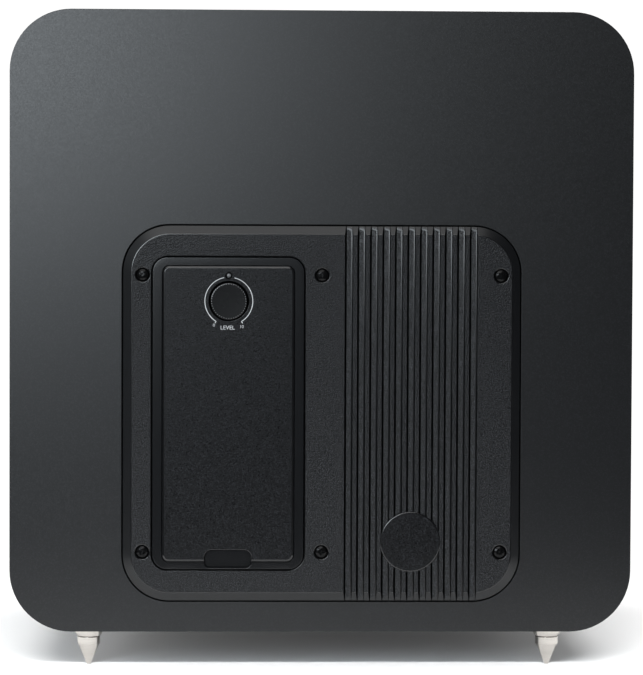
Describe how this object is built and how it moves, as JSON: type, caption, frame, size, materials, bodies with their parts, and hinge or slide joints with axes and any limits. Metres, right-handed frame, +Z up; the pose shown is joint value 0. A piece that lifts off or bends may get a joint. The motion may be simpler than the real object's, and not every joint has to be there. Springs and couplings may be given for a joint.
{
  "type": "powered subwoofer",
  "caption": "Sealed cube-shaped powered subwoofer with a front woofer, a rear amplifier plate with a pull-off connector cover, and levelling spikes.",
  "frame": {"origin": "on the floor, under the middle of the bounding box, at the height of the spike tips", "axes": "+Z up, -Y out of the woofer, +Y out of the amplifier plate"},
  "size_m": [0.4, 0.3856, 0.427],
  "materials": {
    "satin_black_paint": "fine-grained satin black paint over MDF",
    "raw_mdf": "bare MDF",
    "nickel_steel": "satin nickel plate on turned steel",
    "zinc_steel": "zinc plate",
    "brass": "turned",
    "cast_black": "cast and painted black",
    "foam_gasket": "closed-cell foam",
    "trim_plastic": "fine satin moulding",
    "black_rubber": "satin rubber",
    "cone_paper": "coated paper pulp",
    "ferrite": "sintered ferrite",
    "kapton": "amber film",
    "copper": "enamelled copper winding",
    "spider_cloth": "resin-stiffened cloth",
    "textured_black": "coarse-grained black coating on cast aluminium",
    "cover_plastic": "fine-textured black moulding",
    "smooth_black_plastic": "smooth satin black moulding",
    "knob_plastic": "satin black moulding",
    "black_oxide": "black oxide",
    "light_pipe": "frosted light pipe",
    "socket_black": "glass-filled black moulding",
    "aluminium": "extruded",
    "circuit_board": "solder resist",
    "winding_tape": "yellow tape over copper and a steel core"
  },
  "bodies": {
    "cabinet": {"amp_gasket": "foam_gasket", "amp_plate": "textured_black", "amp_screw_1": "black_oxide", "amp_screw_2": "black_oxide", "amp_screw_3": "black_oxide", "amp_screw_4": "black_oxide", "amp_screw_5": "black_oxide", "amp_screw_6": "black_oxide", "amplifier_board": "circuit_board", "cabinet_wrap": "satin_black_paint", "control_bay": "smooth_black_plastic", "crossover_potentiometer": "zinc_steel", "front_baffle": "satin_black_paint", "heat_spreader": "aluminium", "input_socket_block": "socket_black", "level_potentiometer": "zinc_steel", "mains_inlet": "socket_black", "mains_rocker_frame": "socket_black", "phase_switch_body": "zinc_steel", "power_mode_switch_body": "zinc_steel", "rear_panel": "satin_black_paint", "spike_lock_nut_1": "nickel_steel", "spike_lock_nut_2": "nickel_steel", "spike_lock_nut_3": "nickel_steel", "spike_lock_nut_4": "nickel_steel", "status_light_pipe": "light_pipe", "threaded_insert_1": "brass", "threaded_insert_2": "brass", "threaded_insert_3": "brass", "threaded_insert_4": "brass", "toroidal_transformer": "winding_tape", "window_brace": "raw_mdf", "woofer_basket": "cast_black", "woofer_gasket": "foam_gasket", "woofer_magnet": "ferrite", "woofer_pole_yoke": "zinc_steel", "woofer_screw_1": "zinc_steel", "woofer_screw_2": "zinc_steel", "woofer_screw_3": "zinc_steel", "woofer_screw_4": "zinc_steel", "woofer_screw_5": "zinc_steel", "woofer_screw_6": "zinc_steel", "woofer_top_plate": "zinc_steel", "woofer_trim_ring": "trim_plastic"},
    "cone_assembly": {"woofer_cone": "cone_paper", "woofer_dust_cap": "cone_paper", "voice_coil_former": "kapton", "voice_coil": "copper", "woofer_surround": "black_rubber", "woofer_spider": "spider_cloth"},
    "cover": {"access_cover": "cover_plastic"},
    "level_control": {"level_knob": "knob_plastic"},
    "crossover_control": {"crossover_knob": "knob_plastic"},
    "phase_switch": {"phase_slider": "socket_black"},
    "power_mode_switch": {"power_mode_slider": "socket_black"},
    "power_rocker": {"mains_rocker": "socket_black"},
    "spike_foot_1": {"spike_1": "nickel_steel"},
    "spike_foot_2": {"spike_2": "nickel_steel"},
    "spike_foot_3": {"spike_3": "nickel_steel"},
    "spike_foot_4": {"spike_4": "nickel_steel"}
  },
  "joints": [
    {"name": "cone_travel", "type": "slide", "parent": "cabinet", "child": "cone_assembly", "axis": [0, -1, 0], "range_m": [-0.012, 0.012], "stiffness_N_per_m": 3500, "deforming": ["woofer_surround", "woofer_spider"]},
    {"name": "cover_pull", "type": "slide", "parent": "cabinet", "child": "cover", "axis": [0, 1, 0], "range_m": [0, 0.05]},
    {"name": "level_knob_turn", "type": "hinge", "parent": "cabinet", "child": "level_control", "pos_m": [0.0598, 0.18685, 0.2408], "axis": [0, -1, 0], "range_deg": [-150, 150]},
    {"name": "crossover_knob_turn", "type": "hinge", "parent": "cabinet", "child": "crossover_control", "pos_m": [0.084, 0.12885, 0.1906], "axis": [0, -1, 0], "range_deg": [-150, 150]},
    {"name": "phase_slide", "type": "slide", "parent": "cabinet", "child": "phase_switch", "axis": [-1, 0, 0], "range_m": [0, 0.0046]},
    {"name": "power_mode_slide", "type": "slide", "parent": "cabinet", "child": "power_mode_switch", "axis": [-1, 0, 0], "range_m": [-0.0038, 0.0038]},
    {"name": "mains_rocker_tilt", "type": "hinge", "parent": "cabinet", "child": "power_rocker", "pos_m": [0.036, 0.12185, 0.1066], "axis": [1, 0, 0], "range_deg": [0, 14]},
    {"name": "spike_1_adjust", "type": "slide", "parent": "cabinet", "child": "spike_foot_1", "axis": [0, 0, 1], "range_m": [-0.008, 0]},
    {"name": "spike_2_adjust", "type": "slide", "parent": "cabinet", "child": "spike_foot_2", "axis": [0, 0, 1], "range_m": [-0.008, 0]},
    {"name": "spike_3_adjust", "type": "slide", "parent": "cabinet", "child": "spike_foot_3", "axis": [0, 0, 1], "range_m": [-0.008, 0]},
    {"name": "spike_4_adjust", "type": "slide", "parent": "cabinet", "child": "spike_foot_4", "axis": [0, 0, 1], "range_m": [-0.008, 0]}
  ]
}
